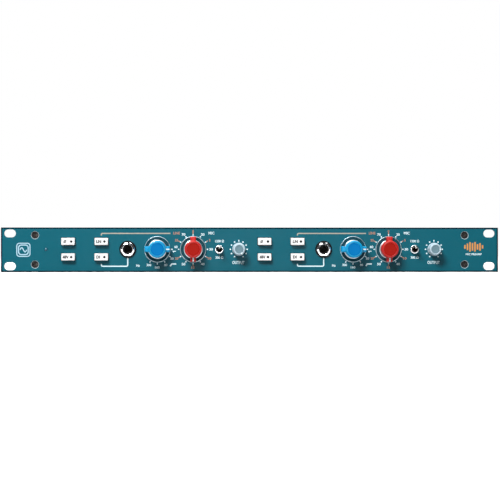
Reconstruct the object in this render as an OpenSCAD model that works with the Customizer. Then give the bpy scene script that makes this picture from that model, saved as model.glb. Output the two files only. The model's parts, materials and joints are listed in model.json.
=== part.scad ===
// Two-channel microphone preamp in a 1U rack case.
// Frame: +X to the right seen from the front, +Y to the rear, +Z up. The origin is the centre of
// the four rack slots, on the rear face of the front panel, where the rack's rails bear.

/* [Front panel] */
// Width of the panel, the standard 19 inches
panel_w = 482.6; // [481:0.1:484]
// Height of the panel
panel_h = 43.2; // [42.8:0.1:44.4]
// Thickness of the panel
panel_t = 3.2; // [3:0.1:4]
// Distance between the left and right rack slots
slot_pitch_x = 465.1; // [464:0.1:466]
// Distance between the upper and lower rack slots
slot_pitch_z = 31.75; // [31.5:0.05:32]
// Length of a rack slot
slot_w = 11.2; // [10:0.1:12]
// Height of a rack slot
slot_h = 7.6; // [6.6:0.1:8]

/* [Case] */
// Width of the case behind the panel
case_w = 430; // [428:1:434]
// Height of the case, cover included
case_h = 42; // [41.6:0.1:42.6]
// Depth of the case behind the panel
case_d = 228; // [226:1:250]
// Thickness of the folded sheet steel
sheet_t = 1.2; // [1:0.1:1.5]
// Thickness of the rear panel
rear_t = 1.5; // [1.2:0.1:2]

/* [Channels] */
// Distance between the two channels
channel_pitch = 190; // [188:0.5:191]
// Distance between the two columns of buttons in a channel
button_pitch_x = 32; // [30:0.5:34]
// Distance between the two rows of buttons
button_pitch_z = 15; // [14.5:0.1:16]
// How far a button travels
button_travel = 3; // [2:0.5:4]

/* [Knobs] */
// Height of a large winged knob above the panel
knob_h = 16.5; // [15:0.5:18]
// Radius of a large knob's foot
knob_foot_r = 9.05; // [9:0.05:9.5]
// Distance from a large knob's axis to the tip of its wing
wing_reach = 12.4; // [12:0.1:13]
// Height of a small output knob above the panel
output_knob_h = 14; // [13:0.5:16]
// Radius of a small output knob's foot
output_knob_r = 6.4; // [6.3:0.1:7]

/* [Hidden] */
$fn = 64;
eps = 0.01; // how far a cutting tool runs past a face

// Colours
teal = [0.12, 0.41, 0.48];
black_steel = [0.10, 0.10, 0.11];
bare_steel = [0.72, 0.73, 0.75];
dark_steel = [0.08, 0.08, 0.09];
red = [0.72, 0.10, 0.09];
blue = [0.02, 0.45, 0.82];
pale_grey = [0.78, 0.82, 0.87];
mid_grey = [0.50, 0.58, 0.62];
white = [0.93, 0.93, 0.92];
moulding = [0.07, 0.07, 0.08];
board_green = [0.05, 0.30, 0.16];

// Places along X, from a channel's middle
function channel_x(ch) = (ch - 1.5) * channel_pitch;
left_button_dx = -81.5;
right_button_dx = left_button_dx + button_pitch_x;
jack_dx = -24;
filter_dx = 4.6;
gain_dx = 39.2;
toggle_dx = 64.5;
output_dx = 83.5;
socket_pitch = 50; // between the three rear sockets of a channel
power_inlet_x = 188;
led_x = -198;
control_z = 0.5; // height of every control's axis
panel_screw_x = 208.5;
panel_screw_z = 14.2;

// Case
tray_h = case_h - sheet_t;
tray_floor_z = -case_h / 2 + sheet_t; // upper face of the tray's floor
flange_w = 14;
lip_w = 10;
bend_r = 1.6;
cover_screw_y = [14, 64, 114, 164, case_d - 14];
vent_n = 13;
vent_pitch = 8.5;
vent_size = [3, 40];
vent_rows_y = [92, 142];

// Controls: all lengths run along the control's axis from the panel's front face
bushing_r = 4.7; // of the two rotary switches and the jack
shaft_r = 3;
shaft_gap = 0.06; // radial running clearance of a shaft in its bushing
hole_gap = 0.15; // radial clearance of a bushing in the panel
ring_t = 0.8;
ring_r = 12.8;
rim_h = 1.5;
nut_t = 2.4;
button_size = [13.5, 7.2];
button_rise = 5; // how far a cap stands out of the panel
button_gap = 0.35; // round the cap in its window
pot_bushing_r = 3.4;
toggle_bushing_r = 3.1;
toggle_pivot = 3.5; // height of the lever's pivot above the panel
toggle_tilt = 13; // the lever's angle from the axis at either end of its throw
jack_bore_r = 3.2;
jack_rise = 4.2; // how far the jack's bushing stands out of the panel
led_r = 1.5;

// Rear sockets: lengths run outwards from the rear panel's outer face
socket_r = 11.6;
socket_depth = 22;
socket_flange = [26, 31, 2.2];
socket_face = 3;
socket_hole_dx = 9.5;
socket_hole_dz = 12;
contact_circle_r = 4.3;
latch_z = 12; // height of a release latch above its socket's axis

// Inside
board_size = [150, 74, 1.6];
board_y = 118;
board_z = -13.4; // underside of a board
board_hole = [69, 31];
transformer_y = 183;

// ---- placing ----

// Axis at (x, z) on the panel's front face, local +Z towards the user, local +Y up
module at_front(x, z = control_z) {
    translate([x, -panel_t, z]) rotate([90, 0, 0]) children();
}

// Axis at (x, z) on the rear panel's outer face, local +Z outwards, local +Y up
module at_rear(x, z = 0) {
    translate([x, case_d, z]) rotate([90, 0, 180]) children();
}

// The child once in each channel, at an offset from its middle
module in_channels(dx) {
    for (ch = [1, 2]) at_front(channel_x(ch) + dx) children();
}

// The child at each of the eight buttons
module at_buttons() {
    for (ch = [1, 2], dx = [left_button_dx, right_button_dx], row = [-1, 1])
        at_front(channel_x(ch) + dx, control_z + row * button_pitch_z / 2) children();
}

function socket_x(ch, place) = channel_x(ch) + (place - 1) * socket_pitch; // 0 mic, 1 line, 2 output

// ---- shapes ----

module disc(r, z0, z1) {
    translate([0, 0, z0]) cylinder(r = r, h = z1 - z0);
}

module cone(r0, r1, z0, z1) {
    translate([0, 0, z0]) cylinder(r1 = r0, r2 = r1, h = z1 - z0);
}

module block(size, z0, z1) {
    translate([-size.x / 2, -size.y / 2, z0]) cube([size.x, size.y, z1 - z0]);
}

module hex(across_flats, z0, z1) {
    translate([0, 0, z0]) cylinder(r = across_flats / sqrt(3), h = z1 - z0, $fn = 6);
}

module rounded_2d(w, h, r) {
    square([w - 2 * r, h], center = true);
    square([w, h - 2 * r], center = true);
    for (x = [-1, 1], y = [-1, 1]) translate([x * (w / 2 - r), y * (h / 2 - r)]) circle(r = r);
}

module rounded_block(size, r, z0, z1) {
    translate([0, 0, z0]) linear_extrude(z1 - z0) rounded_2d(size.x, size.y, r);
}

// Block with its front edges cut back at 45 degrees
module chamfered_block(size, c, z0, z1) {
    intersection() {
        rotate([90, 0, 0]) translate([0, 0, -size.y / 2]) linear_extrude(size.y)
            chamfered_side(size.x, c, z0, z1);
        rotate([90, 0, 90]) translate([0, 0, -size.x / 2]) linear_extrude(size.x)
            chamfered_side(size.y, c, z0, z1);
    }
}

module chamfered_side(w, c, z0, z1) {
    polygon([[-w / 2, z0], [w / 2, z0], [w / 2, z1 - c], [w / 2 - c, z1],
             [-w / 2 + c, z1], [-w / 2, z1 - c]]);
}

// Countersunk screw, its head flush with z = 0
module countersunk_screw(r, head_r, length) {
    difference() {
        union() {
            disc(r, -length, -head_r + r);
            cone(r, head_r, -head_r + r, 0);
        }
        for (a = [0, 90]) rotate(a) block([head_r * 1.1, head_r * 0.24], -head_r * 0.35, eps);
    }
}

// Pan-head screw, the underside of its head at z = 0
module pan_screw(r, head_r, length) {
    difference() {
        union() {
            disc(r, -length, 0);
            disc(head_r, 0, head_r * 0.35);
            cone(head_r, head_r * 0.7, head_r * 0.35, head_r * 0.65);
        }
        for (a = [0, 90]) rotate(a)
            block([head_r * 0.95, head_r * 0.24], head_r * 0.3, head_r * 0.65 + eps);
    }
}

// ---- case ----

module front_panel() {
    color(teal) difference() {
        at_front(0, 0) chamfered_block([panel_w, panel_h], 0.5, -panel_t, 0);
        for (x = [-1, 1], z = [-1, 1]) at_front(x * slot_pitch_x / 2, z * slot_pitch_z / 2)
            rack_slot();
        at_panel_screws() {
            disc(2.15, -panel_t - eps, eps);
            cone(2.15, 3.95 + eps, -1.8, eps);
        }
        at_buttons() block([button_size.x + 2 * button_gap, button_size.y + 2 * button_gap],
                           -panel_t - eps, eps);
        in_channels(gain_dx) disc(bushing_r + hole_gap, -panel_t - eps, eps);
        in_channels(filter_dx) disc(bushing_r + hole_gap, -panel_t - eps, eps);
        in_channels(jack_dx) disc(bushing_r + hole_gap, -panel_t - eps, eps);
        in_channels(output_dx) disc(pot_bushing_r + hole_gap, -panel_t - eps, eps);
        in_channels(toggle_dx) disc(toggle_bushing_r + hole_gap, -panel_t - eps, eps);
        at_front(led_x) disc(led_r + 0.1, -panel_t - eps, eps);
    }
}

module rack_slot() {
    flat = slot_w - slot_h;
    block([flat, slot_h], -panel_t - eps, eps);
    for (x = [-1, 1]) translate([x * flat / 2, 0, 0]) disc(slot_h / 2, -panel_t - eps, eps);
}

module at_panel_screws() {
    for (x = [-1, 1], z = [-1, 1]) at_front(x * panel_screw_x, z * panel_screw_z) children();
}

// Floor, sides and top lips folded from one sheet, with flanges for the front and rear panels
module chassis_tray() {
    color(black_steel) difference() {
        union() {
            translate([0, case_d, -sheet_t / 2]) rotate([90, 0, 0]) linear_extrude(case_d)
                tray_section();
            for (x = [-1, 1], y = [0, case_d - rear_t - sheet_t])
                translate([x * (case_w - flange_w) / 2 - flange_w / 2, y, -case_h / 2 + bend_r])
                    cube([flange_w, sheet_t, tray_h - 2 * bend_r]);
        }
        at_panel_screws() disc(2.05, -panel_t - 2 * sheet_t, 0);
        at_rear_panel_screws() disc(1.6, -rear_t - 2 * sheet_t, 0);
        at_cover_screws() disc(1.6, -3 * sheet_t, 0);
    }
}

module tray_section() {
    difference() {
        rounded_2d(case_w, tray_h, bend_r);
        rounded_2d(case_w - 2 * sheet_t, tray_h - 2 * sheet_t, bend_r - sheet_t);
        translate([0, tray_h / 2]) square([case_w - 2 * lip_w, 3 * sheet_t], center = true);
    }
}

module at_cover_screws() {
    for (x = [-1, 1], y = cover_screw_y)
        translate([x * (case_w / 2 - lip_w / 2), y, case_h / 2]) children();
}

module at_rear_panel_screws() {
    for (x = [-1, 1], z = [-12, 12]) at_rear(x * (case_w - flange_w) / 2, z) children();
}

module top_cover() {
    color(black_steel) difference() {
        translate([0, case_d / 2, case_h / 2 - sheet_t]) linear_extrude(sheet_t) difference() {
            rounded_2d(case_w - 0.4, case_d - 0.6, 1);
            vent_slots_2d();
        }
        at_cover_screws() {
            disc(1.7, -2 * sheet_t, eps);
            cone(1.7, 2.9 + eps, -sheet_t, eps);
        }
    }
}

// Cooling slots over each channel's board, drawn about the middle of the cover
module vent_slots_2d() {
    for (ch = [1, 2], y = vent_rows_y, i = [0 : vent_n - 1])
        translate([channel_x(ch) + (i - (vent_n - 1) / 2) * vent_pitch, y - case_d / 2])
            rounded_2d(vent_size.x, vent_size.y, vent_size.x / 2 - eps);
}

module rear_panel() {
    plate_w = case_w - 2 * sheet_t - 0.4;
    plate_h = tray_h - 2 * sheet_t - 0.4;
    color(black_steel) difference() {
        at_rear(0, -sheet_t / 2) block([plate_w, plate_h], -rear_t, 0);
        at_sockets() disc(socket_r + 0.2, -rear_t - eps, eps);
        at_socket_screws() disc(1.6, -rear_t - eps, eps);
        at_rear_panel_screws() disc(1.7, -rear_t - eps, eps);
        for (ch = [1, 2], place = [0, 1]) at_rear(socket_x(ch, place), latch_z)
            block([9, 5], -rear_t - eps, eps);
    }
}

module at_sockets() {
    for (ch = [1, 2], place = [0, 1, 2]) at_rear(socket_x(ch, place)) children();
    at_rear(power_inlet_x) children();
}

module at_socket_screws() {
    at_sockets() for (s = [-1, 1])
        translate([s * socket_hole_dx, -s * socket_hole_dz, 0]) children();
}

module panel_screws() {
    color(dark_steel) at_panel_screws() translate([0, 0, -0.15]) countersunk_screw(1.95, 3.75, 9);
}

module cover_screws() {
    color(dark_steel) at_cover_screws() translate([0, 0, -0.05]) countersunk_screw(1.45, 2.65, 7);
}

module rear_screws() {
    color(dark_steel) {
        at_rear_panel_screws() pan_screw(1.45, 2.8, 7);
        at_socket_screws() translate([0, 0, socket_flange.z]) pan_screw(1.45, 2.8, 8);
    }
}

// ---- rotary controls ----

// Thin bezel under each large knob, with a raised rim
module dial_rings() {
    color(bare_steel) for (dx = [gain_dx, filter_dx]) in_channels(dx) rotate_extrude($fn = 96)
        polygon([[bushing_r + hole_gap, 0], [ring_r, 0], [ring_r, rim_h - 0.3],
                 [ring_r - 0.3, rim_h], [ring_r - 0.5, rim_h], [ring_r - 1.1, ring_t],
                 [bushing_r + hole_gap, ring_t]]);
}

module control_nuts() {
    color(bare_steel) {
        for (dx = [gain_dx, filter_dx]) in_channels(dx) difference() {
            hex(12, ring_t, ring_t + nut_t);
            disc(bushing_r + 0.05, 0, 9);
        }
        in_channels(output_dx) difference() {
            hex(9, 0, 2);
            disc(pot_bushing_r + 0.05, -1, 9);
        }
    }
}

// Rotary switch: bushing, indexing box and wafers on two posts, bored for the shaft
module rotary_switch(body_r, wafers) {
    last = -panel_t - 9 - 12 * wafers;
    difference() {
        union() {
            disc(bushing_r, -panel_t - 1, 4.5);
            disc(body_r, -panel_t - 9, -panel_t);
            for (i = [1 : wafers]) disc(body_r, -panel_t - 9 - 12 * i, -panel_t - 7.4 - 12 * i);
            for (x = [-1, 1]) translate([x * (body_r - 3), 0, 0]) disc(1.6, last - 2, -panel_t - 8);
        }
        disc(shaft_r + shaft_gap, last - 3, 5);
    }
}

module gain_switches() {
    color(bare_steel) in_channels(gain_dx) rotary_switch(14.5, 3);
}

module filter_switches() {
    color(bare_steel) in_channels(filter_dx) rotary_switch(12.2, 1);
}

module output_pots() {
    color(bare_steel) in_channels(output_dx) difference() {
        union() {
            disc(pot_bushing_r, -panel_t - 1, 3.2);
            disc(11.8, -panel_t - 12, -panel_t);
            translate([0, -12, 0]) block([14, 8], -panel_t - 6, -panel_t - 4.4);
        }
        disc(2.5 + shaft_gap, -panel_t - 10, 4);
    }
}

module control_shaft(r, from, to) {
    color(bare_steel) {
        disc(r, from, to - 0.4);
        cone(r, r - 0.4, to - 0.4, to);
    }
}

module gain_shaft(ch) {
    at_front(channel_x(ch) + gain_dx) control_shaft(shaft_r, -panel_t - 46, knob_h - 3);
}

module filter_shaft(ch) {
    at_front(channel_x(ch) + filter_dx) control_shaft(shaft_r, -panel_t - 22, knob_h - 3);
}

module output_shaft(ch) {
    at_front(channel_x(ch) + output_dx) control_shaft(2.5, -panel_t - 9.5, output_knob_h - 3);
}

// Large knob: round body with two wings; its pointer wing lies at pointer degrees from +X
module winged_knob(pointer) {
    difference() {
        union() {
            disc(knob_foot_r, 1.2, 3.2);
            cone(knob_foot_r, 8.7, 3.2, 3.6);
            cone(8.7, 8.3, 3.6, knob_h - 1);
            cone(8.3, 7.3, knob_h - 1, knob_h);
            intersection() {
                rotate(pointer) rotate([90, 0, 90]) translate([0, 0, -wing_reach - 1])
                    linear_extrude(2 * wing_reach + 2) wing_section();
                disc(wing_reach, 0, knob_h);
            }
        }
        disc(7.3, 0, 5.4);
        disc(shaft_r + 0.02, 0, knob_h - 2.9);
        disc(6.35, knob_h - 0.9, knob_h + 1);
        rotate(pointer) translate([7.6 + wing_reach / 2, 0, 0])
            block([wing_reach, 1.2], knob_h - 3.9, knob_h);
    }
}

module wing_section() {
    polygon([[-3, 2.3], [3, 2.3], [2.9, knob_h - 4.2], [2.3, knob_h - 3.6],
             [-2.3, knob_h - 3.6], [-2.9, knob_h - 4.2]]);
}

module knob_cap(r, top) {
    difference() {
        disc(r, top - 0.9, top - 0.3);
        rotate_extrude() translate([r - 0.6, top - 0.3]) circle(r = 0.15, $fn = 16);
    }
}

module gain_knob(ch) {
    color(red) at_front(channel_x(ch) + gain_dx) winged_knob(-90);
}

module gain_knob_cap(ch) {
    color(red) at_front(channel_x(ch) + gain_dx) knob_cap(6.3, knob_h);
}

module filter_knob(ch) {
    color(blue) at_front(channel_x(ch) + filter_dx) winged_knob(0);
}

module filter_knob_cap(ch) {
    color(blue) at_front(channel_x(ch) + filter_dx) knob_cap(6.3, knob_h);
}

// Small knob: a fluted cone with a pointer rib and a recess for its cap
module output_knob(ch) {
    flutes = 24;
    pointer = ch == 1 ? -60 : 0; // degrees from +X
    top_r = output_knob_r - 0.9;
    color(pale_grey) at_front(channel_x(ch) + output_dx) difference() {
        union() {
            cone(output_knob_r, top_r, 0.6, output_knob_h - 0.6);
            cone(top_r, top_r - 0.6, output_knob_h - 0.6, output_knob_h);
            rotate(pointer) translate([top_r - 0.35, 0, 0])
                block([1.5, 1], output_knob_h - 9, output_knob_h - 0.4);
        }
        for (i = [0 : flutes - 1]) rotate(i * 360 / flutes)
            translate([output_knob_r + 0.25, 0, 0]) disc(0.6, 2.6, output_knob_h - 3.2);
        disc(5.5, 0, 3.8);
        disc(2.52, 0, output_knob_h - 2.9);
        disc(3.95, output_knob_h - 0.9, output_knob_h + 1);
    }
}

module output_knob_cap(ch) {
    color(mid_grey) at_front(channel_x(ch) + output_dx) knob_cap(3.9, output_knob_h);
}

// ---- buttons, toggles, jacks, lamp ----

module button(ch, dx, row) {
    color(white) at_front(channel_x(ch) + dx, control_z + row * button_pitch_z / 2) {
        chamfered_block(button_size, 0.5, -panel_t - 1, button_rise);
        block([4, 3], -panel_t - 9, -panel_t - 1);
    }
}

module phase_button(ch) {
    button(ch, left_button_dx, 1);
}

module phantom_button(ch) {
    button(ch, left_button_dx, -1);
}

module line_button(ch) {
    button(ch, right_button_dx, 1);
}

module di_button(ch) {
    button(ch, right_button_dx, -1);
}

// Two push switches in one bracket behind each column of buttons
module button_switches() {
    color(moulding) for (ch = [1, 2], dx = [left_button_dx, right_button_dx])
        at_front(channel_x(ch) + dx) difference() {
            union() {
                for (row = [-1, 1]) translate([0, row * button_pitch_z / 2, 0])
                    block([14.6, 11.4], -panel_t - 30, -panel_t - 5.5);
                for (x = [-1, 1]) translate([x * 7.6, 0, 0])
                    block([1, 28], -panel_t - 22, -panel_t);
                block([14.6, 4], -panel_t - 28, -panel_t - 12);
            }
            for (row = [-1, 1]) translate([0, row * button_pitch_z / 2, 0])
                block([4.6, 3.6], -panel_t - 11 - button_travel, -panel_t - 5);
        }
}

module toggle_switches() {
    color(bare_steel) in_channels(toggle_dx) difference() {
        union() {
            disc(toggle_bushing_r, -panel_t - 1, 6.4);
            block([7.6, 13], -panel_t - 10, -panel_t);
        }
        disc(2.4, -panel_t - 5, 7);
    }
}

module toggle_nuts() {
    color(bare_steel) in_channels(toggle_dx) difference() {
        union() {
            disc(4.3, 0, 2.2);
            cone(4.3, 3.7, 2.2, 2.8);
        }
        disc(toggle_bushing_r + 0.05, -1, 4);
    }
}

// Bat lever on its ball and pivot pin, thrown upwards
module toggle_lever(ch) {
    color(bare_steel) at_front(channel_x(ch) + toggle_dx) translate([0, 0, toggle_pivot])
        rotate([-toggle_tilt, 0, 0]) {
            sphere(r = 1.9);
            rotate([0, 90, 0]) disc(0.7, -2.2, 2.2);
            cone(1.1, 1.5, 0, 9.5);
            translate([0, 0, 9.5]) sphere(r = 1.5);
            disc(0.9, -4.5, 0);
        }
}

module di_jacks() {
    color(moulding) in_channels(jack_dx) difference() {
        union() {
            disc(bushing_r, -panel_t - 1, jack_rise);
            block([16, 21], -panel_t - 25, -panel_t);
        }
        disc(jack_bore_r, -panel_t - 23, 5);
    }
}

module jack_washers() {
    color(moulding) in_channels(jack_dx) difference() {
        union() {
            disc(8.2, 0, 0.7);
            cone(8.2, 7.6, 0.7, 1.2);
        }
        disc(bushing_r + 0.05, -1, 2);
    }
}

module jack_nuts() {
    color(bare_steel) in_channels(jack_dx) difference() {
        intersection() {
            hex(12.6, 1.2, 3.8);
            union() {
                disc(8, 0, 3.1);
                cone(8, 6, 3.1, 3.8);
            }
        }
        disc(bushing_r + 0.05, -1, 5);
    }
}

module power_led() {
    color(white) at_front(led_x) {
        disc(led_r, -panel_t - 4, 0.4);
        cone(led_r, led_r - 0.5, 0.4, 0.9);
        disc(led_r + 0.5, -panel_t - 4, -panel_t - 0.1);
    }
}

// ---- rear sockets ----

module socket_body() {
    rounded_block([socket_flange.x, socket_flange.y], 4, 0, socket_flange.z);
    disc(socket_r, -socket_depth, socket_face - 0.4);
    cone(socket_r, socket_r - 0.4, socket_face - 0.4, socket_face);
}

module socket_flange_holes() {
    for (s = [-1, 1]) translate([s * socket_hole_dx, -s * socket_hole_dz, 0])
        disc(1.6, -1, socket_face + 1);
}

module contact_places(n) {
    for (i = [0 : n - 1]) rotate(n == 3 ? 30 + i * 120 : 45 + i * 90)
        translate([contact_circle_r, 0, 0]) children();
}

// Female three-pole sockets with a slot above for the release latch
module input_sockets() {
    color(moulding) for (ch = [1, 2], place = [0, 1]) at_rear(socket_x(ch, place)) difference() {
        socket_body();
        socket_flange_holes();
        difference() {
            disc(9.6, -11, socket_face + 1);
            disc(7.5, -12, socket_face - 1);
        }
        contact_places(3) disc(1.35, -9, socket_face);
        translate([0, latch_z - 0.4, 0]) block([8.6, 5.2], -8, socket_face + 1);
    }
}

module latch(ch, place) {
    color(bare_steel) at_rear(socket_x(ch, place), latch_z)
        chamfered_block([8, 3.8], 0.6, -5.5, socket_face + 1);
}

module mic_latch(ch) {
    latch(ch, 0);
}

module line_latch(ch) {
    latch(ch, 1);
}

// Male socket: a cup with n pins standing in it
module male_socket(n) {
    difference() {
        socket_body();
        socket_flange_holes();
        disc(8, -11, socket_face + 1);
    }
    contact_places(n) {
        disc(1.2, -12, 0.6);
        cone(1.2, 0.7, 0.6, 1.2);
    }
}

module output_sockets() {
    color(moulding) for (ch = [1, 2]) at_rear(socket_x(ch, 2)) male_socket(3);
}

module power_inlet() {
    color(moulding) at_rear(power_inlet_x) male_socket(4);
}

// ---- inside ----

module at_board_holes() {
    for (ch = [1, 2], x = [-1, 1], y = [-1, 1])
        translate([channel_x(ch) + x * board_hole.x, board_y + y * board_hole.y, board_z])
            children();
}

module amp_boards() {
    color(board_green) difference() {
        for (ch = [1, 2]) translate([channel_x(ch), board_y, board_z])
            block(board_size, 0, board_size.z);
        at_board_holes() disc(1.6, -1, 3);
        at_transistors() disc(3, -1, 3);
    }
}

// Hexagonal standoffs under the boards, each with its pan-head screw
module board_standoffs() {
    color(bare_steel) at_board_holes() {
        hex(5.5, tray_floor_z - board_z, 0);
        translate([0, 0, board_size.z]) pan_screw(1.45, 2.8, board_size.z + 2);
    }
}

module on_boards(x, y) {
    for (ch = [1, 2])
        translate([channel_x(ch) + x, board_y + y, board_z + board_size.z]) children();
}

// Radial electrolytics in rows, and flat film capacitors between them
module board_capacitors() {
    color(blue) {
        for (i = [0 : 4]) on_boards(-56 + i * 15, 22) can(5, 16);
        for (i = [0 : 3]) on_boards(-48 + i * 20, -20) can(6.2, 21);
        for (i = [0 : 4]) on_boards(-54 + i * 15, 2) block([11, 5], 0, 9);
    }
}

module can(r, h) {
    difference() {
        union() {
            disc(r, 0, h - 0.6);
            cone(r, r - 0.6, h - 0.6, h);
        }
        rotate_extrude() translate([r + 0.2, 3]) circle(r = 0.6, $fn = 16);
    }
}

module at_transistors() {
    for (ch = [1, 2]) translate([channel_x(ch) + 46, board_y + 2, board_z]) children();
}

// Metal-can output transistor on its finned heat sink
module power_transistors() {
    sink = [34, 44];
    color(dark_steel) at_transistors() translate([0, 0, board_size.z]) {
        block(sink, 0, 4);
        for (i = [0 : 3], s = [-1, 1]) translate([s * (sink.x / 2 - 1 - i * 2.6), 0, 0])
            block([1.2, sink.y], 3, 20);
        rounded_block([15, 26], 7, 4, 5.6);
        disc(6.2, 5, 12);
        cone(6.2, 5.4, 12, 12.8);
    }
}

// Laminated core with a wound bobbin through it, standing on two feet
module transformer(w, d, h) {
    foot = 6;
    block([w, d * 0.55], 0, h);
    rounded_block([w * 0.62, d], 3, h * 0.17, h * 0.83);
    difference() {
        block([w + 2 * foot, d * 0.55], 0, 1.2);
        for (x = [-1, 1]) translate([x * (w + foot) / 2, 0, 0]) disc(1.7, -1, 3);
    }
}

// Two for the inputs and a larger one for the output in each channel
module audio_transformers() {
    color(moulding) for (ch = [1, 2]) translate([channel_x(ch), transformer_y, tray_floor_z]) {
        translate([-62, 0, 0]) transformer(34, 30, 31);
        translate([-14, 0, 0]) transformer(30, 28, 28);
        translate([42, 0, 0]) transformer(42, 34, 34);
    }
}

// Points on a smooth curve through a route, steps to each stretch
function spline_point(a, b, c, d, t) =
    0.5 * (2 * b + (c - a) * t + (2 * a - 5 * b + 4 * c - d) * t * t
           + (3 * b - a - 3 * c + d) * t * t * t);
function smooth(route, steps) = [
    for (i = [0 : len(route) - 2], s = [0 : steps - 1])
        spline_point(route[max(i - 1, 0)], route[i], route[i + 1],
                     route[min(i + 2, len(route) - 1)], s / steps),
    route[len(route) - 1]];
function unit(v) = v / norm(v);
function heading(p, i) = unit(p[min(i + 1, len(p) - 1)] - p[max(i - 1, 0)]);
function level_side(v) = unit(cross(v, [0, 0, 1])); // the routes never run straight up
function ring(p, i, r, sides) =
    let (v = heading(p, i), a = level_side(v), b = cross(a, v))
    [for (k = [0 : sides - 1])
        p[i] + r * (cos(k * 360 / sides) * a + sin(k * 360 / sides) * b)];

module tube(route, r, sides = 10, steps = 4) {
    p = smooth(route, steps);
    n = len(p);
    points = [for (i = [0 : n - 1]) each ring(p, i, r, sides)];
    walls = [for (i = [0 : n - 2], k = [0 : sides - 1])
        let (a = i * sides + k, b = i * sides + (k + 1) % sides) [a, b, b + sides, a + sides]];
    first = [for (k = [0 : sides - 1]) sides - 1 - k];
    last = [for (k = [0 : sides - 1]) (n - 1) * sides + k];
    polyhedron(points, concat([first], walls, [last]));
}

// Laced wire looms: in each channel from behind the rear sockets round to the gain switch, and
// from the power inlet to the second channel's board
module wiring_looms() {
    signal_route = [[56, 203, 10], [40, 203, 6], [0, 203, 0], [-45, 203, -6], [-76, 201, -13],
                    [-86.5, 190, -15.6], [-86.5, 140, -15.6], [-86.5, 84, -15.6],
                    [-78, 66, -12], [-40, 58, -8], [10, 57, -7], [34, 55, -7],
                    [39.2, 51, -7], [39.2, 48, -7],
                    [39.2, 45.1, -7]];
    supply_route = [[188, 205.9, 0], [188, 203, 0], [188, 198, 0], [191, 180, -14], [193, 150, -16],
                    [191, 134, -14], [180, 124, -9], [168, 120, -8.4]];
    color(moulding) {
        for (ch = [1, 2]) tube([for (p = signal_route) p + [channel_x(ch), 0, 0]], 2.6);
        tube(supply_route, 3);
    }
}

front_panel();
chassis_tray();
rear_panel();
top_cover();
panel_screws();
cover_screws();
rear_screws();
dial_rings();
control_nuts();
gain_switches();
filter_switches();
output_pots();
button_switches();
toggle_switches();
toggle_nuts();
di_jacks();
jack_washers();
jack_nuts();
power_led();
input_sockets();
output_sockets();
power_inlet();
amp_boards();
board_capacitors();
power_transistors();
board_standoffs();
audio_transformers();
wiring_looms();
for (ch = [1, 2]) {
    gain_knob(ch);
    gain_knob_cap(ch);
    gain_shaft(ch);
    filter_knob(ch);
    filter_knob_cap(ch);
    filter_shaft(ch);
    output_knob(ch);
    output_knob_cap(ch);
    output_shaft(ch);
    toggle_lever(ch);
    phase_button(ch);
    phantom_button(ch);
    line_button(ch);
    di_button(ch);
    mic_latch(ch);
    line_latch(ch);
}
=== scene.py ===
"""Looks of a microphone preamp in a 1U rack case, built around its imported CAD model.

Sizes in this file are in millimetres unless a comment says otherwise. Every piece is made in a
local frame (u, v, w): u and v lie in the face that it stands on, and w points out of that face.
"""
import json
import math

import bmesh
import bpy
from mathutils import Matrix, Vector


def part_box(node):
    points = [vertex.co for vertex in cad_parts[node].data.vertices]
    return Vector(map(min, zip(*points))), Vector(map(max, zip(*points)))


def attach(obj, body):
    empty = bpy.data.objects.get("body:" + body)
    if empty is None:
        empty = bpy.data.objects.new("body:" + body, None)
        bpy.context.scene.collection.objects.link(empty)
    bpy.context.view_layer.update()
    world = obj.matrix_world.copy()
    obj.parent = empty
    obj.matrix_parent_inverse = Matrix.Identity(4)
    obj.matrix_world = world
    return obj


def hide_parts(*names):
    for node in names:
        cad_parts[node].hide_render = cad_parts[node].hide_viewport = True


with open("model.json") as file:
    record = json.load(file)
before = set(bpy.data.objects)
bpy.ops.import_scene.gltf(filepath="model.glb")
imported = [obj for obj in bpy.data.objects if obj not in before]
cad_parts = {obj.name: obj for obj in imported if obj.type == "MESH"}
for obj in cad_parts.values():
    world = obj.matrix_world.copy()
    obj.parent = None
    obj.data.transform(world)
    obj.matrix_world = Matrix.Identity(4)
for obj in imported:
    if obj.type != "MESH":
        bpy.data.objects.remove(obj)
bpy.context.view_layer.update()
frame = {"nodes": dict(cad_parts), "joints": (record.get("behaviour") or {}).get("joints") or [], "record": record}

# ---- places ----

MM = 0.001
CHANNELS = (1, 2)
CASE = "case"
NODES = frame["nodes"]
MOUNTS = {m["name"]: m for m in frame["record"]["mounts"]}
JOINTS = {j["name"]: j for j in frame["joints"]}


def ends(node):
    """Lowest and highest corners of a CAD node."""
    low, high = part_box(node)
    return low / MM, high / MM


def middle(node):
    low, high = ends(node)
    return (low + high) / 2


def axis_x(node):
    return middle(node).x


def mount_place(name):
    return Vector(MOUNTS[name]["pos_m"]) / MM


PANEL_LOW, PANEL_HIGH = ends("front_panel")
FACE_Y = PANEL_LOW.y
PANEL_T = PANEL_HIGH.y - PANEL_LOW.y
REAR_Y = ends("rear_panel")[1].y
CONTROL_Z = middle("gain_shaft_1").z


def placed(u, v, w, origin):
    """Matrix from a local frame in millimetres to the row frame in metres."""
    axes = Matrix((u, v, w)).transposed().to_4x4()
    return Matrix.Translation(Vector(origin) * MM) @ axes @ Matrix.Scale(MM, 4)


def front(x, z=CONTROL_Z):
    return placed((1, 0, 0), (0, 0, 1), (0, -1, 0), (x, FACE_Y, z))


def rear(x, z=0.0):
    return placed((-1, 0, 0), (0, 0, 1), (0, 1, 0), (x, REAR_Y, z))


def above(x, y, z):
    return placed((1, 0, 0), (0, 1, 0), (0, 0, 1), (x, y, z))


def turned(place, degrees, axis="Z"):
    """The same place, turned about one of its own axes."""
    return place @ Matrix.Rotation(math.radians(degrees), 4, axis)


def shifted(place, u, v, w=0.0):
    return place @ Matrix.Translation((u, v, w))


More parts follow.
